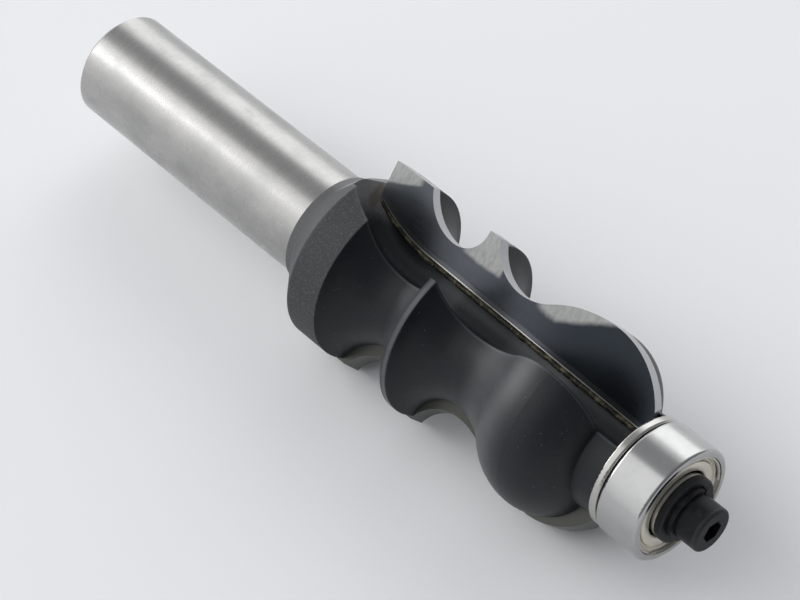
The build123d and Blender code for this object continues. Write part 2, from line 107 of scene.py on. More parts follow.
class Wing(Enum):
    """The two wings of the cutter, by how far each is turned about the tool axis."""

    A = 0.0
    B = math.pi

    @property
    def across(self) -> Vector:
        """Direction along the wing's carbide face, away from the tool axis."""
        turn = REST_ROLL + self.value
        return Vector((0.0, math.cos(turn), math.sin(turn)))

    @property
    def above(self) -> Vector:
        """Direction square to the wing's carbide face, out of the steel."""
        return Vector((1.0, 0.0, 0.0)).cross(self.across)

    def place(self, along: float, out: float, up: float) -> Vector:
        """A point given in millimetres in the wing's own axes, as a place in the frame.

        Args:
            along: distance along the tool axis.
            out: distance across the carbide face.
            up: height square to the carbide face.

        Returns:
            The point in metres.
        """
        return (Vector((along, 0.0, 0.0)) + self.across * out + self.above * up) * MM


# ------------------------------------------------------------------------------- shader building
class Wire:
    """A value in a material, which adds maths nodes when it is used in an expression."""

    def __init__(self, bench: Bench, socket: bpy.types.NodeSocket) -> None:
        """Hold a node's output and the bench that its tree belongs to."""
        self.bench = bench
        self.socket = socket

    def _with(self, operation: str, *others: Wire | float, first: bool = True) -> Wire:
        """Add one Math node.

        Args:
            operation: the Math node's operation.
            others: what it combines this value with.
            first: whether this value goes into the first socket.

        Returns:
            The node's result.
        """
        values = [self, *others] if first else [*others, self]
        return self.bench.node("ShaderNodeMath", {"operation": operation}, dict(enumerate(values)))

    def __add__(self, other: Wire | float) -> Wire:
        """This value plus another."""
        return self._with("ADD", other)

    __radd__ = __add__

    def __sub__(self, other: Wire | float) -> Wire:
        """This value less another."""
        return self._with("SUBTRACT", other)

    def __rsub__(self, other: float) -> Wire:
        """A number less this value."""
        return self._with("SUBTRACT", other, first=False)

    def __mul__(self, other: Wire | float) -> Wire:
        """This value times another."""
        return self._with("MULTIPLY", other)

    __rmul__ = __mul__

    def __truediv__(self, other: Wire | float) -> Wire:
        """This value over another."""
        return self._with("DIVIDE", other)

    def __abs__(self) -> Wire:
        """This value without its sign."""
        return self._with("ABSOLUTE")

    def above(self, limit: Wire | float) -> Wire:
        """One where this value is over the limit, otherwise zero."""
        return self._with("GREATER_THAN", limit)

    def least(self, other: Wire | float) -> Wire:
        """The smaller of this value and another."""
        return self._with("MINIMUM", other)

    def most(self, other: Wire | float) -> Wire:
        """The larger of this value and another."""
        return self._with("MAXIMUM", other)

    def root(self) -> Wire:
        """The square root."""
        return self._with("SQRT")

    def swing(self, amount: float) -> Wire:
        """A pattern that is centred on a half, as a swing about zero."""
        return (self - 0.5) * amount

    def ramp(self, start: float, end: float) -> Wire:
        """A smooth step from zero at start to one at end.

        Args:
            start: value below which the result is zero.
            end: value above which it is one, which may be under start for a falling step.

        Returns:
            The step.
        """
        rising = (start, end, 0.0, 1.0)
        falling = (end, start, 1.0, 0.0)
        settings = {"interpolation_type": "SMOOTHSTEP"}
        values = dict(enumerate((self, *(rising if start < end else falling))))
        return self.bench.node("ShaderNodeMapRange", settings, values)

    def band(self, middle: float, half: float, edge: float) -> Wire:
        """One within half of the middle, fading to zero over the edge's width.

        Args:
            middle: centre of the band.
            half: half the band's full-strength width.
            edge: width of each fading side.

        Returns:
            The band.
        """
        return abs(self - middle).ramp(half + edge, half)


@dataclass
class Bench:
    """One material, or the room, being built: its node tree and the ways to add to it."""

    name: str
    made_in: bpy.types.BlendDataMaterials | bpy.types.BlendDataWorlds | None = None
    material: bpy.types.Material | bpy.types.World = field(init=False)

    def __post_init__(self) -> None:
        """Start an empty node tree."""
        home = bpy.data.materials if self.made_in is None else self.made_in
        self.material = home.new(self.name)
        self.material.use_nodes = True
        self.material.node_tree.nodes.clear()

    def node(self, kind: str, settings: dict | None = None, values: dict | None = None,
             out: int | str = 0) -> Wire:
        """Add one node.

        Args:
            kind: the node's type.
            settings: its own settings, such as a Math node's operation, or a ramp's stops.
            values: what each input gets, by name or number: a value or a Wire.
            out: the output that is wanted.

        Returns:
            The wanted output.
        """
        tree = self.material.node_tree
        made = tree.nodes.new(kind)
        for key, value in (settings or {}).items():
            setattr(made, key, value)
        for key, value in (values or {}).items():
            if isinstance(value, Wire):
                tree.links.new(value.socket, made.inputs[key])
            else:
                made.inputs[key].default_value = value
        return Wire(self, made.outputs[out] if len(made.outputs) else made.inputs[0])

    def where(self) -> Wire:
        """The place on the object in metres."""
        return self.node("ShaderNodeTexCoord", out="Object")

    def parts(self, vector: Wire) -> list[Wire]:
        """A vector's three numbers."""
        split = self.node("ShaderNodeSeparateXYZ", values={0: vector})
        return [Wire(self, part) for part in split.socket.node.outputs]

    def axes(self) -> tuple[Wire, Wire, Wire, Wire]:
        """The place on the object in millimetres.

        Returns:
            X, Y, Z and the whole vector, still in metres.
        """
        where = self.where()
        return (*(part / MM for part in self.parts(where)), where)

    def noise(self, where: Wire, scale: float, detail: float = 3.0, roughness: float = 0.55,
              stretch: Stretch = (1.0, 1.0, 1.0)) -> Wire:
        """A noise pattern centred on a half.

        Args:
            where: the coordinates.
            scale: waves per metre.
            detail: octaves.
            roughness: weight of the finer octaves.
            stretch: factor on each axis of the coordinates.

        Returns:
            The pattern.
        """
        scaled = {"Vector": where, "Scale": stretch}
        placed = self.node("ShaderNodeMapping", {"vector_type": "POINT"}, scaled)
        values = {"Vector": placed, "Scale": scale, "Detail": detail, "Roughness": roughness}
        return self.node("ShaderNodeTexNoise", values=values)

    def mix(self, factor: Wire | float, first: Wire | Colour, second: Wire | Colour) -> Wire:
        """A colour between two others.

        Args:
            factor: zero for the first colour, one for the second.
            first: the first colour.
            second: the second colour.

        Returns:
            The mixed colour.
        """
        settings = {"data_type": "RGBA", "clamp_factor": True}
        start, end = (c if isinstance(c, Wire) else (*c, 1.0) for c in (first, second))
        return self.node("ShaderNodeMix", settings, {0: factor, 6: start, 7: end}, out=2)

    def bump(self, height: Wire, depth: float = RELIEF_DEPTH) -> Wire:
        """A relief on the surface.

        Args:
            height: the relief, from zero to one.
            depth: what a height of one stands for, in millimetres.

        Returns:
            The normal.
        """
        values = {"Height": height, "Distance": depth * MM, "Strength": 1.0}
        return self.node("ShaderNodeBump", values=values)

    def close(self, values: dict) -> bpy.types.Material:
        """Finish the material with one shader.

        Args:
            values: the shader's inputs, by name.

        Returns:
            The material.
        """
        shader = self.node("ShaderNodeBsdfPrincipled", values=values)
        self.node("ShaderNodeOutputMaterial", values={"Surface": shader})
        return self.material


# ------------------------------------------------------------------------------- finishes
def wing_axes(y: Wire, z: Wire) -> tuple[Wire, Wire]:
    """A place on the object in wing A's own axes.

    Args:
        y: place along Y.
        z: place along Z.

    Returns:
        Distance along the carbide face from the tool axis, and height square to the face.
    """
    out = y * math.cos(REST_ROLL) + z * math.sin(REST_ROLL)
    up = z * math.cos(REST_ROLL) - y * math.sin(REST_ROLL)
    return out, up


@dataclass(frozen=True)
class InnerEdge:
    """A carbide tip's inner edge: a slightly sloping line that curves outwards at the rear."""

    curve_x: float = 29.85
    rear: float = 4.8
    slope: float = -0.02557
    radius: float = 20.0

    def distance(self, x: Wire, out: Wire) -> Wire:
        """How far a place on the face is from the edge, towards the crests.

        Args:
            x: place along X.
            out: distance across the face.

        Returns:
            The distance, with the rear curve taken as a parabola.
        """
        run = x - self.curve_x
        rise = (run.least(0.0) * run.least(0.0)) / (2.0 * self.radius)
        return out - (self.rear + run * self.slope + rise)

    def out_at(self, along: float) -> float:
        """Where the edge is.

        Args:
            along: distance along the tool axis.

        Returns:
            The edge's distance across the face.
        """
        run = along - self.curve_x
        rise = self.radius - math.sqrt(self.radius**2 - min(run, 0.0) ** 2)
        return self.rear + run * self.slope + rise


@dataclass(frozen=True)
class GroundShank:
    """Values of the bare shank: centreless-ground steel."""

    light: Colour = (0.43, 0.425, 0.415)
    dull: Colour = (0.31, 0.31, 0.305)
    cloud: Noise = (280.0, 5.0, 0.65)
    cloud_stretch: Stretch = (0.6, 1.0, 1.0)
    cloud_step: Span = (0.35, 0.7)
    lines: Noise = (9000.0, 2.0, 0.6)
    line_stretch: Stretch = (1.0, 0.05, 0.05)
    scuffs: Noise = (1400.0, 5.0, 0.7)
    scuff_step: Span = (0.66, 0.74)
    roughness: float = 0.28


@dataclass(frozen=True)
class HeelWall:
    """Where the heel wall of each gullet stands, in a wing's own axes."""

    runout_x: float = 29.5
    runout_out: float = 13.8
    angle: float = math.radians(46.0)
    offset: float = 1.63

    def distance(self, x: Wire, y: Wire, z: Wire) -> Wire:
        """How far a point is behind the heel wall of the nearer gullet, in millimetres.

        Args:
            x: place along X.
            y: place along Y.
            z: place along Z.

        Returns:
            The distance, which is zero on the wall.
        """
        out, up = wing_axes(y, z)
        side = up.above(0.0) * 2.0 - 1.0
        back = (x - self.runout_x).least(0.0)
        inward = self.runout_out - out * side
        folded = self.runout_out - (inward * inward + back * back).root()
        return abs(up) * math.cos(self.angle) - folded * math.sin(self.angle) - self.offset


@dataclass(frozen=True)
class BlackCoat:
    """Values of the body's coating: matt black over blasted steel, smooth in the coves."""

    coarse: Colour = (0.040, 0.041, 0.044)
    smooth: Colour = (0.0100, 0.0126, 0.0156)
    cone: Colour = (0.075, 0.077, 0.081)
    grit: Colour = (0.135, 0.138, 0.144)
    haze: Colour = (0.040, 0.042, 0.046)
    speck: Colour = (0.075, 0.078, 0.083)
    # paler blasted steel of the pocket, brightened further as painted light; also painted light on
    # the collar
    pocket: Colour = (0.25, 0.252, 0.256)
    stain: Colour = (0.115, 0.098, 0.072)
    # painted highlight: a paler colour on the coves' slopes for the soft light they catch
    painted_sheen: Colour = (0.088, 0.091, 0.096)
    # paler colour for rubbing on the ridge and rims, and a painted highlight along the heel edges
    worn_and_edge_highlight: Colour = (0.14, 0.147, 0.158)
    dust: Colour = (0.42, 0.42, 0.43)

    grain_noise: Noise = (4600.0, 3.0, 0.75)
    fine_noise: Noise = (11000.0, 2.0, 0.6)
    cloud_noise: Noise = (240.0, 4.0, 0.6)
    dust_noise: Noise = (4400.0, 1.0, 0.4)
    grit_step: Span = (0.48, 0.72)
    haze_step: Span = (0.5, 0.8)
    speck_step: Span = (0.60, 0.78)
    dust_step: Span = (0.76, 0.80)

    # where the collar is painted lighter, as painted light
    collar_painted_light_end: Span = (18.1, 17.8)
    cone_end: Span = (21.7, 21.5)
    floor_end: Span = (23.0, 21.8)
    land_end: Span = (25.8, 25.6)
    land_radius: Span = (8.8, 9.3)
    pocket_end: Span = (25.4, 23.2)
    pocket_radius: Span = (9.4, 9.0)
    pocket_out: Span = (4.4, 6.4)
    pocket_up: Span = (4.6, 3.4)
    stain_along: Zone = (21.1, 0.3, 0.5)
    stain_out: Zone = (6.6, 0.9, 1.0)
    stain_up: Span = (2.4, 1.8)
    stain_step: Span = (0.3, 0.6)
    # where the painted highlights on the two coves lie along the tool
    front_painted_sheen: Zone = (47.0, 2.0, 3.2)
    rear_painted_sheen: Zone = (33.8, 0.8, 1.6)

    heel: HeelWall = HeelWall()
    # painted highlight band along the heel edges
    heel_highlight_band: Zone = (0.08, 0.03, 0.08)
    core_radius: float = 4.6
    ridge_along: Zone = (35.9, 0.08, 0.34)
    ridge_radius: Span = (9.7, 10.0)
    rim_along: Zone = (21.6, 0.10, 0.15)
    rim_radius: Span = (9.8, 10.0)
    collar_rim: Zone = (17.9, 0.03, 0.1)
    roughness: float = 0.43


@dataclass(frozen=True)
class CutterFinish:
    """The finish of the solid that is both the bare shank and the black cutter body."""

    shank: GroundShank = GroundShank()
    coat: BlackCoat = BlackCoat()
    collar_rear: Span = (17.08, 17.12)

    def material(self) -> bpy.types.Material:
        """Build the material.

        Returns:
            The material, which changes from steel to coating at the collar.
        """
        bench = Bench("shank_steel_and_black_body")
        x, y, z, where = bench.axes()
        coated = x.ramp(*self.collar_rear)
        steel, steel_rough, steel_relief = self.steel(bench, where)
        coat, coat_rough, coat_metal, coat_relief = self.coating(bench, x, y, z, where)
        relief = steel_relief * (1 - coated) + coat_relief * coated
        return bench.close({
            "Base Color": bench.mix(coated, steel, coat),
            "Roughness": steel_rough * (1 - coated) + coat_rough * coated,
            "Metallic": (1 - coated) + coat_metal * coated,
            "Specular IOR Level": 0.30,
            "Normal": bench.bump(relief),
        })

    def steel(self, bench: Bench, where: Wire) -> tuple[Wire, Wire, Wire]:
        """The bare shank's colour, roughness and relief.

        Args:
            bench: the material.
            where: the coordinates.

        Returns:
            Colour, roughness and relief.
        """
        shank = self.shank
        cloud = bench.noise(where, *shank.cloud, shank.cloud_stretch)
        lines = bench.noise(where, *shank.lines, shank.line_stretch)
        scuffs = bench.noise(where, *shank.scuffs).ramp(*shank.scuff_step)
        dulled = cloud.ramp(*shank.cloud_step) * 0.7 + lines * 0.2
        rough = shank.roughness + cloud.swing(0.24) + lines.swing(0.14) + scuffs * 0.08
        return bench.mix(dulled, shank.light, shank.dull), rough, lines * 0.10 + cloud * 0.02

    def coating(self, bench: Bench, x: Wire, y: Wire, z: Wire,
                where: Wire) -> tuple[Wire, Wire, Wire, Wire]:
        """The black coating's colour, roughness, metal share and relief.

        Args:
            bench: the material.
            x: place along X.
            y: place along Y.
            z: place along Z.
            where: the coordinates.

        Returns:
            Colour, roughness, metal share and relief.
        """
        coat = self.coat
        radius = (y * y + z * z).root()
        grain = bench.noise(where, *coat.grain_noise)
        fine = bench.noise(where, *coat.fine_noise)
        cloud = bench.noise(where, *coat.cloud_noise)
        dust = bench.noise(where, *coat.dust_noise).ramp(*coat.dust_step)
        on_land = radius.ramp(*coat.land_radius).most(x.ramp(*coat.floor_end))
        blasted = x.ramp(*coat.land_end) * on_land

        colour = bench.mix(blasted, coat.smooth, coat.coarse)
        colour = bench.mix(x.ramp(*coat.cone_end) * 0.55, colour, coat.cone)
        colour = bench.mix(grain.ramp(*coat.grit_step) * blasted * 0.55, colour, coat.grit)
        colour = bench.mix(cloud.ramp(*coat.haze_step) * 0.25, colour, coat.haze)
        colour = bench.mix(fine.ramp(*coat.speck_step) * 0.35, colour, coat.speck)
        colour = self.marks(bench, colour, x, y, z, radius, grain, cloud)
        # rubbing on the ridge and rims, plus a painted highlight on the heel edges
        wear_and_edge_highlight = self.wear_and_edge_highlight(x, y, z, radius) * (0.45 + cloud * 0.9)
        colour = bench.mix(wear_and_edge_highlight, colour, coat.worn_and_edge_highlight)
        colour = bench.mix(dust * 0.26, colour, coat.dust)

        rough = coat.roughness + blasted * 0.22 + cloud.swing(0.12) - wear_and_edge_highlight * 0.12
        relief = grain * (blasted * 1.3 + 0.15) + fine * (blasted * 0.5 + 0.2) + dust * 0.5
        return colour, rough, wear_and_edge_highlight * 0.5, relief

    def marks(self, bench: Bench, colour: Wire, x: Wire, y: Wire, z: Wire, radius: Wire,
              grain: Wire, cloud: Wire) -> Wire:
        """Lay the paler blasted pocket, the heat stain and the painted light over the coat:
        painted highlights on the coves' slopes, and painted light on the pocket and the collar.

        Args:
            bench: the material.
            colour: the coat's colour so far.
            x: place along X.
            y: place along Y.
            z: place along Z.
            radius: distance from the tool axis.
            grain: the blasted grain.
            cloud: the slow pattern.

        Returns:
            The colour with its marks.
        """
        coat = self.coat
        out, up = (abs(way) for way in wing_axes(y, z))
        pocket = (x.ramp(*coat.pocket_end) * radius.ramp(*coat.pocket_radius)
                  * up.ramp(*coat.pocket_up) * out.ramp(*coat.pocket_out))
        # the pocket: paler blasted steel, brightened further as painted light
        colour = bench.mix(pocket * (0.45 + grain * 0.8), colour, coat.pocket)
        # painted light: the collar painted lighter with the pocket's colour
        colour = bench.mix(x.ramp(*coat.collar_painted_light_end) * 0.25, colour, coat.pocket)
        stain = (x.band(*coat.stain_along) * out.band(*coat.stain_out)
                 * cloud.ramp(*coat.stain_step) * up.ramp(*coat.stain_up))
        colour = bench.mix(stain * 0.75, colour, coat.stain)
        # painted highlight on the slopes of the two coves
        painted_sheen_mask = x.band(*coat.front_painted_sheen).most(x.band(*coat.rear_painted_sheen) * 0.8)
        return bench.mix(painted_sheen_mask * (0.25 + cloud * 0.7), colour, coat.painted_sheen)

    def wear_and_edge_highlight(self, x: Wire, y: Wire, z: Wire, radius: Wire) -> Wire:
        """Where the coat is paler: rubbing on the ridge and on the rims of land and collar, and a
        painted highlight along the heel edges.

        Args:
            x: place along X.
            y: place along Y.
            z: place along Z.
            radius: distance from the tool axis.

        Returns:
            The mask of rubbing and painted highlight, before the slow pattern breaks it up.
        """
        coat = self.coat
        heel = coat.heel.distance(x, y, z).band(*coat.heel_highlight_band) * radius.above(coat.core_radius)
        ridge = x.band(*coat.ridge_along) * radius.ramp(*coat.ridge_radius)
        rim = x.band(*coat.rim_along) * radius.ramp(*coat.rim_radius)
        rims = rim.most(x.band(*coat.collar_rim) * 0.6)
        return (heel * 0.26).most(ridge * 0.62).most(rims * 0.35)


@dataclass(frozen=True)
class ReflectionPatches:
    """Painted reflection: where the carbide face is painted brighter, next to the crests and along
    the bead, for the lit surroundings that it mirrors.
    """

    ragged: Noise = (1500.0, 4.0, 0.7)
    rear_x: float = 21.56
    rear_slope: float = 0.42
    rear_out: Span = (8.38, 8.72)
    rear_end: Span = (25.6, 24.9)
    middle_out: Span = (7.25, 7.75)
    middle_start: Span = (32.7, 33.6)
    middle_end: Span = (38.4, 38.0)
    bead_x: float = 46.0
    bead_slope: float = 0.57
    bead_out: Span = (7.15, 8.0)
    bead_start: Span = (42.9, 44.2)

    def strength(self, bench: Bench, x: Wire, out: Wire, cloud: Wire, where: Wire) -> Wire:
        """The patches' strength.

        Args:
            bench: the material.
            x: place along X.
            out: distance across the face.
            cloud: a slow pattern that makes the patches' borders uneven.
            where: the coordinates.

        Returns:
            One on a patch, zero off it.
        """
        uneven = out + cloud.swing(0.7) + bench.noise(where, *self.ragged).swing(0.25)
        rear_edge = uneven - (x - self.rear_x) * self.rear_slope
        rear = rear_edge.ramp(*self.rear_out) * x.ramp(*self.rear_end)
        middle = uneven.ramp(*self.middle_out) * x.ramp(*self.middle_start)
        middle = middle * x.ramp(*self.middle_end)
        bead_edge = uneven - (x - self.bead_x).most(0.0) * self.bead_slope
        bead = bead_edge.ramp(*self.bead_out) * x.ramp(*self.bead_start)
        return rear.most(middle).most(bead)


@dataclass(frozen=True)
class CarbideFinish:
    """The finish of the carbide tips: a face finished by lapping, ground relief lands and a
    stepped inner strip, with painted reflections, a painted edge highlight and painted shade on
    wing B's lands.
    """

    inner: InnerEdge = InnerEdge()
    patches: ReflectionPatches = ReflectionPatches()
    face: Colour = (0.060, 0.068, 0.080)
    cloudy: Colour = (0.105, 0.114, 0.128)
    rear: Colour = (0.10, 0.112, 0.122)
    # painted reflection: the face painted darker towards the front, where it mirrors dark
    # surroundings
    dark: Colour = (0.016, 0.021, 0.027)
    # painted reflection: bright patches for the lit surroundings that the face mirrors
    painted_reflection: Colour = (0.34, 0.345, 0.335)
    streaked_reflection: Colour = (0.27, 0.277, 0.272)
    strip: Colour = (0.135, 0.145, 0.158)
    # painted highlight: a bright line along the inner edge for the glint on it
    line: Colour = (0.80, 0.79, 0.76)
    land: Colour = (0.54, 0.545, 0.56)
    land_line: Colour = (0.32, 0.325, 0.34)
    # colour of the carbide's back plane, also used as painted shade on wing B's relief lands
    back: Colour = (0.075, 0.077, 0.068)

    cloud_noise: Noise = (220.0, 4.0, 0.6)
    line_noise: Noise = (7000.0, 2.0, 0.6)
    line_stretch: Stretch = (0.06, 1.0, 1.0)
    streak_noise: Noise = (2600.0, 4.0, 0.7)
    streak_stretch: Stretch = (1.0, 0.35, 0.35)
    cloud_step: Span = (0.3, 0.8)
    streak_step: Span = (0.35, 0.7)

    face_level: float = 1.405
    back_level: Span = (-0.57, -0.62)
    cloudy_along: Zone = (30.5, 3.0, 5.0)
    rear_end: Span = (30.0, 27.0)
    dark_reflection_start: Span = (41.0, 49.0)
    strip_fade: Span = (42.0, 50.0)
    strip_border: Span = (0.74, 0.62)
    strip_step: Span = (0.52, 0.72)
    edge_highlight_width: Span = (0.16, 0.07)

    def material(self) -> bpy.types.Material:
        """Build the material.

        Returns:
            The material.
        """
        bench = Bench("ground_carbide")
        x, y, z, where = bench.axes()
        across, up = wing_axes(y, z)
        on_a = across.above(0.0)
        level = up * (on_a * 2.0 - 1.0)
        on_face = level.above(self.face_level)
        out = abs(across)
        edge = self.inner.distance(x, out)
        cloud = bench.noise(where, *self.cloud_noise)
        lines = bench.noise(where, *self.line_noise, self.line_stretch)
        streaks = bench.noise(where, *self.streak_noise, self.streak_stretch)
        # painted reflection: where the face is painted brighter
        patches = self.patches.strength(bench, x, out, cloud, where)

        clouded = cloud.ramp(*self.cloud_step) * 0.5 + x.band(*self.cloudy_along) * 0.4
        colour = bench.mix(clouded, self.face, self.cloudy)
        colour = bench.mix(x.ramp(*self.rear_end) * 0.45, colour, self.rear)
        # painted dark reflection on the front of the face
        colour = bench.mix(x.ramp(*self.dark_reflection_start) * 0.85, colour, self.dark)
        painted_reflection = bench.mix(streaks.ramp(*self.streak_step), self.painted_reflection, self.streaked_reflection)
        colour = bench.mix(patches, colour, painted_reflection)
        strip = edge.ramp(*self.strip_border) * (0.9 - x.ramp(*self.strip_fade) * 0.5)
        colour = bench.mix(strip, colour, self.strip)
        # painted highlight along the inner edge
        colour = bench.mix(edge.ramp(*self.edge_highlight_width), colour, self.line)
        lands = bench.mix(lines * 0.5 + cloud * 0.3, self.land, self.land_line)
        # painted shade: wing B's relief lands painted darker than wing A's
        lands = bench.mix((1 - on_a) * 0.8, lands, self.back)
        lands = bench.mix(level.ramp(*self.back_level), lands, self.back)

        rough = 0.30 + cloud.swing(0.14) + lines.swing(0.10) + patches * 0.10
        step = edge.ramp(*self.strip_step) * on_face
        return bench.close({
            "Base Color": bench.mix(on_face, lands, colour),
            "Roughness": rough + (1 - on_face) * 0.05,
            "Metallic": 0.85,
            "Normal": bench.bump(lines * 0.06 + cloud * 0.04 + step * 0.6),
        })


@dataclass(frozen=True)
class TurnedSteel:
    """A bright steel finish with fine turned or rolled lines round the axis."""

    name: str
    light: Colour
    dull: Colour
    roughness: float
    line_noise: Noise = (12000.0, 2.0, 0.5)
    line_stretch: Stretch = (1.0, 0.03, 0.03)
    line_depth: float = 0.05
    ring_scale: float = 16.0
    cloud_noise: Noise = (420.0, 4.0, 0.6)
    cloud_step: Span = (0.35, 0.75)

    def material(self) -> bpy.types.Material:
        """Build the material.

        Returns:
            The material.
        """
        bench = Bench(self.name)
        _, y, z, where = bench.axes()
        radius = (y * y + z * z).root()
        lines = bench.noise(where, *self.line_noise, self.line_stretch)
        ring_values = {"W": radius, "Scale": self.ring_scale, "Detail": 3.0}
        rings = bench.node("ShaderNodeTexNoise", {"noise_dimensions": "1D"}, ring_values)
        cloud = bench.noise(where, *self.cloud_noise)
        tone = cloud.ramp(*self.cloud_step) * 0.5 + lines * 0.15
        return bench.close({
            "Base Color": bench.mix(tone, self.light, self.dull),
            "Roughness": self.roughness + cloud.swing(0.12) + lines.swing(0.08),
            "Metallic": 1.0,
            "Normal": bench.bump(lines * self.line_depth + rings * self.line_depth),
        })


@dataclass(frozen=True)
class DarkOxide:
    """The black oxide of the screw and washers: paler where rubbing shows in patches, with painted
    highlights on the head's rim and the flat washer's outer edge.
    """

    base: Colour = (0.008, 0.0085, 0.010)
    # paler colour for rubbing in patches and for the painted highlights on the edges
    rubbed_and_edge_highlight: Colour = (0.040, 0.042, 0.046)
    cloud_noise: Noise = (900.0, 4.0, 0.65)
    grain_noise: Noise = (9000.0, 2.0, 0.6)
    cloud_step: Span = (0.45, 0.75)
    head_rim_along: Zone = (70.2, 0.12, 0.2)
    head_rim_radius: Span = (1.9, 2.3)
    washer_edge: Span = (3.45, 3.62)

    def material(self) -> bpy.types.Material:
        """Build the material.

        Returns:
            The material.
        """
        bench = Bench("black_oxide")
        x, y, z, where = bench.axes()
        radius = (y * y + z * z).root()
        cloud = bench.noise(where, *self.cloud_noise)
        grain = bench.noise(where, *self.grain_noise)
        # painted highlights on the head's rim and the flat washer's outer edge
        head_rim = x.band(*self.head_rim_along) * radius.ramp(*self.head_rim_radius)
        edges = head_rim.most(radius.ramp(*self.washer_edge) * 0.8)
        rubbed_and_edge_highlight = (cloud.ramp(*self.cloud_step) * 0.5).most(edges * 0.7)
        return bench.close({
            "Base Color": bench.mix(rubbed_and_edge_highlight, self.base, self.rubbed_and_edge_highlight),
            "Roughness": 0.46 + cloud.swing(0.25),
            "Metallic": 0.0,
            "Specular IOR Level": 0.18,
            "Normal": bench.bump(grain * 0.35 + cloud * 0.2),
        })


@dataclass(frozen=True)
class BrazeFinish:
    """Braze left beside the carbide: brown and olive, speckled, duller where flux burned on."""

    dark: Colour = (0.022, 0.020, 0.014)
    olive: Colour = (0.13, 0.118, 0.072)
    brass: Colour = (0.32, 0.28, 0.18)
    speckle_noise: Noise = (5200.0, 3.0, 0.75)
    cloud_noise: Noise = (1100.0, 3.0, 0.6)
    olive_step: Span = (0.43, 0.68)
    brass_step: Span = (0.60, 0.72)
    shine_step: Span = (0.5, 0.7)
    depth: float = 0.05

    def material(self) -> bpy.types.Material:
        """Build the material.

        Returns:
            The material.
        """
        bench = Bench("braze")
        where = bench.where()
        speckle = bench.noise(where, *self.speckle_noise)
        cloud = bench.noise(where, *self.cloud_noise)
        colour = bench.mix(cloud.ramp(*self.olive_step), self.dark, self.olive)
        return bench.close({
            "Base Color": bench.mix(speckle.ramp(*self.brass_step) * 0.7, colour, self.brass),
            "Roughness": 0.62 - speckle.ramp(*self.shine_step) * 0.2,
            "Metallic": 0.6,
            "Normal": bench.bump(speckle, self.depth),
        })


@dataclass(frozen=True)
class FloorFinish:
    """The pale card that the bit lies on."""

    tone: Colour = (0.94, 0.945, 0.96)
    cloudy_share: float = 0.96
    cloud_noise: Noise = (9.0, 3.0, 0.5)
    cloud_step: Span = (0.3, 0.7)
    tooth_noise: Noise = (1500.0, 2.0, 0.5)

    def material(self) -> bpy.types.Material:
        """Build the material.

        Returns:
            The material.
        """
        bench = Bench("pale_card")
        where = bench.where()
        cloud = bench.noise(where, *self.cloud_noise).ramp(*self.cloud_step)
        tooth = bench.noise(where, *self.tooth_noise)
        cloudy = tuple(self.cloudy_share * part for part in self.tone)
        return bench.close({
            "Base Color": bench.mix(cloud * 0.3, self.tone, cloudy),
            "Roughness": 0.85,
            "Normal": bench.bump(tooth * 0.3),
        })


# ------------------------------------------------------------------------------- sub-assemblies
def dress(frame: dict, material: bpy.types.Material, *nodes: str) -> None:
    """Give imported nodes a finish.

    Args:
        material: the finish.
        nodes: the nodes' names.
    """
    for name in nodes:
        piece = frame["nodes"][name]
        piece.data.materials.clear()
        piece.data.materials.append(material)
        log.info("dressed %s in %s", name, material.name)


def ripple(along: float, *waves: Wave) -> float:
    """The sum of small waves along the tool.

    Args:
        along: distance along the tool axis.
        waves: the waves.

    Returns:
        Their sum.
    """
    return sum(height * math.sin(along * pace + start) for height, pace, start in waves)


@dataclass
class BrazeBead:
    """The line of braze left in the corner between a carbide tip and the gullet's floor."""

    wing: Wing
    inner: InnerEdge = InnerEdge()
    rear: float = 21.7
    front: float = 60.05
    level: float = 1.02
    inset: float = 0.46
    thickness: float = 0.31
    knots: int = 150

    def place(self, along: float) -> Vector:
        """The bead's middle at a place along the tool.

        Args:
            along: distance along the tool axis.

        Returns:
            The point in metres.
        """
        wander = ripple(along, (0.03, 2.3, self.wing.value), (0.015, 5.9, 0.0))
        out = self.inner.out_at(along) - self.inset + wander
        return self.wing.place(along, out, self.level + ripple(along, (0.015, 3.7, 0.0)))

    def share(self, along: float) -> float:
        """The bead's thickness at a place along the tool, as a share of its own."""
        return 0.95 + ripple(along, (0.05, 4.1, 0.0), (0.04, 9.7, self.wing.value))

    def build(self, material: bpy.types.Material) -> bpy.types.Object:
        """Model the bead.

        Args:
            material: its finish.

        Returns:
            The bead.
        """
        bpy.ops.object.select_all(action="DESELECT")
        bpy.ops.curve.primitive_nurbs_path_add()
        bead = bpy.context.object
        bead.name = f"braze_bead_{self.wing.name.lower()}"
        bead.data.splines.clear()
        line = bead.data.splines.new("POLY")
        line.points.add(self.knots - 1)
        for number, point in enumerate(line.points):
            along = self.rear + (self.front - self.rear) * number / (self.knots - 1)
            point.co = (*self.place(along), 1.0)
            point.radius = self.share(along)
        bead.data.bevel_depth, bead.data.bevel_resolution = self.thickness * MM, 3
        bead.data.use_fill_caps = True
        bpy.ops.object.convert(target="MESH")
        bpy.ops.object.shade_smooth()
        bead.data.materials.append(material)
        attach(bead, "cutter")
        return bead


@dataclass
class CutterHead:
    """The shank, the black body with its two wings, the carbide tips and their braze."""

    cutter: CutterFinish = field(default_factory=CutterFinish)
    carbide: CarbideFinish = field(default_factory=CarbideFinish)
    braze: BrazeFinish = field(default_factory=BrazeFinish)

    def build(self, frame: dict) -> None:
        """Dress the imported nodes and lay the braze.
        """
        dress(frame, self.cutter.material(), "cutter_body")
        dress(frame, self.carbide.material(), "carbide_tip_a", "carbide_tip_b")
        braze = self.braze.material()
        dress(frame, braze, "braze_seam_a", "braze_seam_b")
        for wing in Wing:
            log.info("laid %s", BrazeBead(wing).build(braze).name)


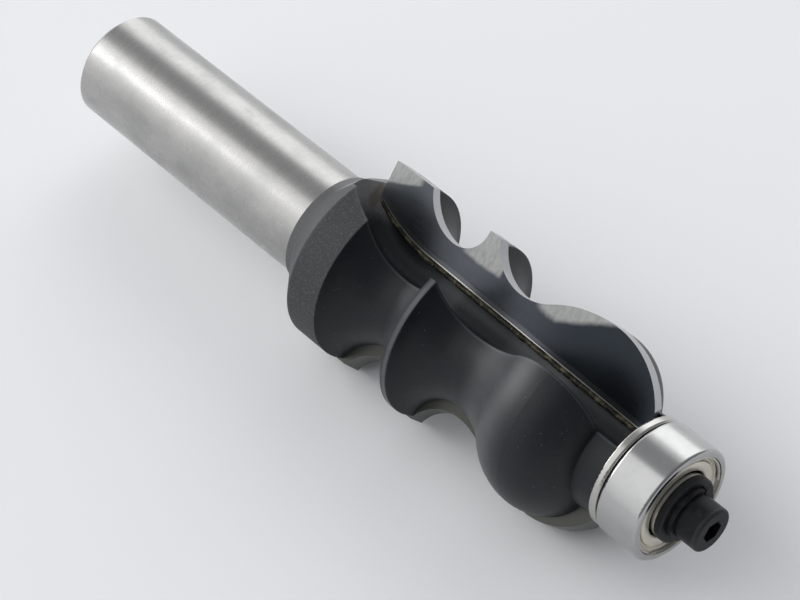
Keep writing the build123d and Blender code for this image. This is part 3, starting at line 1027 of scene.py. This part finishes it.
@dataclass(frozen=True)
class TurnedRing:
    """A thin ring about the tool axis, drawn out of one circle of points step by step."""

    name: str
    outline: tuple[tuple[float, float], ...]
    sides: int = 144
    softening: float = 0.035
    seam: float = 0.002
    crease: float = math.radians(32.0)

    def build(self, material: bpy.types.Material) -> bpy.types.Object:
        """Model the ring.

        Args:
            material: its finish.

        Returns:
            The ring.
        """
        (along, radius), *others = self.outline
        bpy.ops.object.select_all(action="DESELECT")
        bpy.ops.mesh.primitive_circle_add(
            vertices=self.sides, radius=radius * MM,
            location=(along * MM, 0.0, 0.0), rotation=(0.0, math.pi / 2, 0.0))
        ring = bpy.context.object
        ring.name = self.name
        bpy.ops.object.transform_apply(location=True, rotation=True, scale=True)
        bpy.ops.object.mode_set(mode="EDIT")
        bpy.ops.mesh.select_all(action="SELECT")
        for next_along, next_radius in (*others, self.outline[0]):
            bpy.ops.mesh.extrude_edges_move()
            share = next_radius / radius
            centre = (along * MM, 0.0, 0.0)
            bpy.ops.transform.resize(value=(1.0, share, share), center_override=centre)
            bpy.ops.transform.translate(value=((next_along - along) * MM, 0.0, 0.0))
            along, radius = next_along, next_radius
        bpy.ops.mesh.select_all(action="SELECT")
        bpy.ops.mesh.remove_doubles(threshold=self.seam * MM)
        bpy.ops.mesh.normals_make_consistent(inside=False)
        bpy.ops.object.mode_set(mode="OBJECT")
        soft = ring.modifiers.new("soft_edges", "BEVEL")
        soft.width, soft.segments, soft.limit_method = self.softening * MM, 2, "ANGLE"
        bpy.ops.object.modifier_apply(modifier=soft.name)
        bpy.ops.object.shade_smooth_by_angle(angle=self.crease)
        ring.data.materials.append(material)
        return ring


@dataclass
class GuideBearing:
    """The spacer, the shielded ball bearing and the parts inside it."""

    rear_x: float = 61.3607
    front_x: float = 66.3407
    shield_outline: tuple[tuple[float, float], ...] = (
        (0.60, 5.60), (0.44, 5.60), (0.44, 5.20), (0.64, 5.10), (0.64, 4.94), (0.36, 4.80),
        (0.33, 4.02), (0.38, 3.86), (0.50, 3.76), (0.64, 3.76), (0.62, 3.90), (0.58, 4.72),
        (0.78, 4.90), (0.78, 5.14))
    race: TurnedSteel = TurnedSteel(
        "bearing_steel", (0.465, 0.465, 0.46), (0.385, 0.385, 0.385), 0.19)
    spacer: TurnedSteel = TurnedSteel(
        "bright_spacer", (0.50, 0.495, 0.475), (0.36, 0.355, 0.34), 0.24)
    shield: TurnedSteel = TurnedSteel(
        "pale_shield", (0.72, 0.69, 0.60), (0.60, 0.57, 0.49), 0.42)
    wire: TurnedSteel = TurnedSteel(
        "spring_wire", (0.55, 0.54, 0.50), (0.36, 0.35, 0.33), 0.30)

    def build(self, frame: dict) -> None:
        """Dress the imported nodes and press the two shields.
        """
        balls = [name for name in frame["nodes"] if name.startswith("ball_")]
        dress(frame, self.race.material(), "bearing_outer_ring", "bearing_inner_ring", *balls)
        dress(frame, self.spacer.material(), "spacer_disc")
        pressed = self.shield.material()
        dress(frame, pressed, "bearing_shield_rear", "bearing_shield_front")
        for side, face, inward in (("rear", self.rear_x, 1.0), ("front", self.front_x, -1.0)):
            outline = tuple((face + inward * deep, radius) for deep, radius in self.shield_outline)
            ring = TurnedRing(f"pressed_shield_{side}", outline).build(pressed)
            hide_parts(f"bearing_shield_{side}")
            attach(ring, "outer_ring")
            log.info("pressed %s", ring.name)
        dress(frame, self.wire.material(), "snap_ring_rear", "snap_ring_front",
              "cage_half_rear", "cage_half_front", "cage_rivets")


@dataclass
class NoseScrew:
    """The cap screw and the two washers that hold the bearing on."""

    oxide: DarkOxide = field(default_factory=DarkOxide)

    def build(self, frame: dict) -> None:
        """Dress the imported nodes.
        """
        dress(frame, self.oxide.material(), "flat_washer", "lock_washer", "cap_screw")


# ------------------------------------------------------------------------------- studio
@dataclass
class SoftBox:
    """A rectangular studio light."""

    name: str
    place: Vector
    target: Vector
    width: float
    height: float
    watts: float
    tint: Colour = (1.0, 1.0, 1.0)

    def build(self) -> None:
        """Add the light, facing its target."""
        lamp = bpy.data.lights.new(self.name, "AREA")
        lamp.shape = "RECTANGLE"
        lamp.size, lamp.size_y = self.width, self.height
        lamp.energy, lamp.color = self.watts, self.tint
        holder = bpy.data.objects.new(self.name, lamp)
        bpy.context.scene.collection.objects.link(holder)
        aim = (self.target - self.place).to_track_quat("-Z", "Y")
        holder.matrix_world = aim.to_matrix().to_4x4()
        holder.matrix_world.translation = self.place


@dataclass
class Studio:
    """The floor, the lights, the surroundings and the camera."""

    floor_size: float = 3.0
    camera_place: Vector = field(default_factory=lambda: Vector((0.16991, -0.12421, 0.20648)))
    camera_right: Vector = field(default_factory=lambda: Vector((0.674465, 0.737992, -0.021565)))
    camera_up: Vector = field(default_factory=lambda: Vector((-0.537636, 0.510955, 0.670725)))
    lens: float = 125.015
    sensor: float = 36.0
    middle: Vector = field(default_factory=lambda: Vector((0.03, 0.0, 0.0)))
    left_place: Vector = field(default_factory=lambda: Vector((-1.25, -0.40, 0.60)))
    back_place: Vector = field(default_factory=lambda: Vector((-0.70, 1.00, 0.60)))
    warm: Colour = (1.0, 0.995, 0.98)
    cool: Colour = (0.98, 0.985, 1.0)
    dim: Colour = (0.24, 0.244, 0.255)
    bright: Colour = (1.32, 1.325, 1.34)
    strip_near: Span = (-0.24, -0.12)
    strip_far: Span = (0.66, 0.34)
    strip_height: Span = (0.25, 0.55)
    behind_along: Span = (0.45, -0.35)
    behind_height: Span = (0.0, 0.6)

    def build(self) -> None:
        """Build all of it."""
        bpy.context.scene.view_settings.view_transform = "Standard"
        self.build_floor()
        self.build_camera()
        self.build_lights()
        self.build_surroundings()

    def build_floor(self) -> None:
        """Lay the card under the bit."""
        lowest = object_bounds()[0][2]
        bpy.ops.object.select_all(action="DESELECT")
        bpy.ops.mesh.primitive_plane_add(size=self.floor_size, location=(0.0, 0.0, lowest))
        floor = bpy.context.object
        floor.name = "floor"
        bpy.ops.object.transform_apply(location=True, rotation=True, scale=True)
        floor.data.materials.append(FloorFinish().material())
        floor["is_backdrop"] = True

    def build_camera(self) -> None:
        """Set the camera at the viewing angle of the finished picture."""
        shot = bpy.data.cameras.new("camera")
        shot.lens, shot.sensor_width, shot.sensor_fit = self.lens, self.sensor, "HORIZONTAL"
        shot.clip_start, shot.clip_end = 0.01, 20.0
        holder = bpy.data.objects.new("camera", shot)
        bpy.context.scene.collection.objects.link(holder)
        back = self.camera_right.cross(self.camera_up).normalized()
        turned = Matrix((self.camera_right, self.camera_up, back)).transposed().to_4x4()
        turned.translation = self.camera_place
        holder.matrix_world = turned
        bpy.context.scene.camera = holder

    def build_lights(self) -> None:
        """Hang the soft boxes."""
        SoftBox("soft_box_left", self.left_place, self.middle, 1.0, 0.8, 10.5, self.warm).build()
        SoftBox("soft_box_back", self.back_place, self.middle, 1.6, 0.9, 3.2, self.cool).build()

    def build_surroundings(self) -> None:
        """Fill the room with soft light, dim in front of the bit and in a strip overhead."""
        bench = Bench("room", bpy.data.worlds)
        along, side, height = bench.parts(bench.node("ShaderNodeTexCoord", out="Generated"))
        strip = side.ramp(*self.strip_near) * side.ramp(*self.strip_far)
        strip = strip * height.ramp(*self.strip_height)
        behind = along.ramp(*self.behind_along) * (1 - strip * 0.85)
        behind = behind * (0.72 + height.ramp(*self.behind_height) * 0.28)
        tone = bench.mix(behind, self.dim, self.bright)
        light = bench.node("ShaderNodeBackground", values={"Color": tone, "Strength": 1.0})
        bench.node("ShaderNodeOutputWorld", values={"Surface": light})
        bpy.context.scene.world = bench.material


def main() -> None:
    """Load the frame and build every part of the scene."""
    logging.basicConfig(level=logging.INFO, format="%(name)s: %(message)s")
    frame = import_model()
    for part in (CutterHead(), GuideBearing(), NoseScrew()):
        part.build(frame)
        log.info("built %s", type(part).__name__)
    Studio().build()


if __name__ == "__main__":
    main()
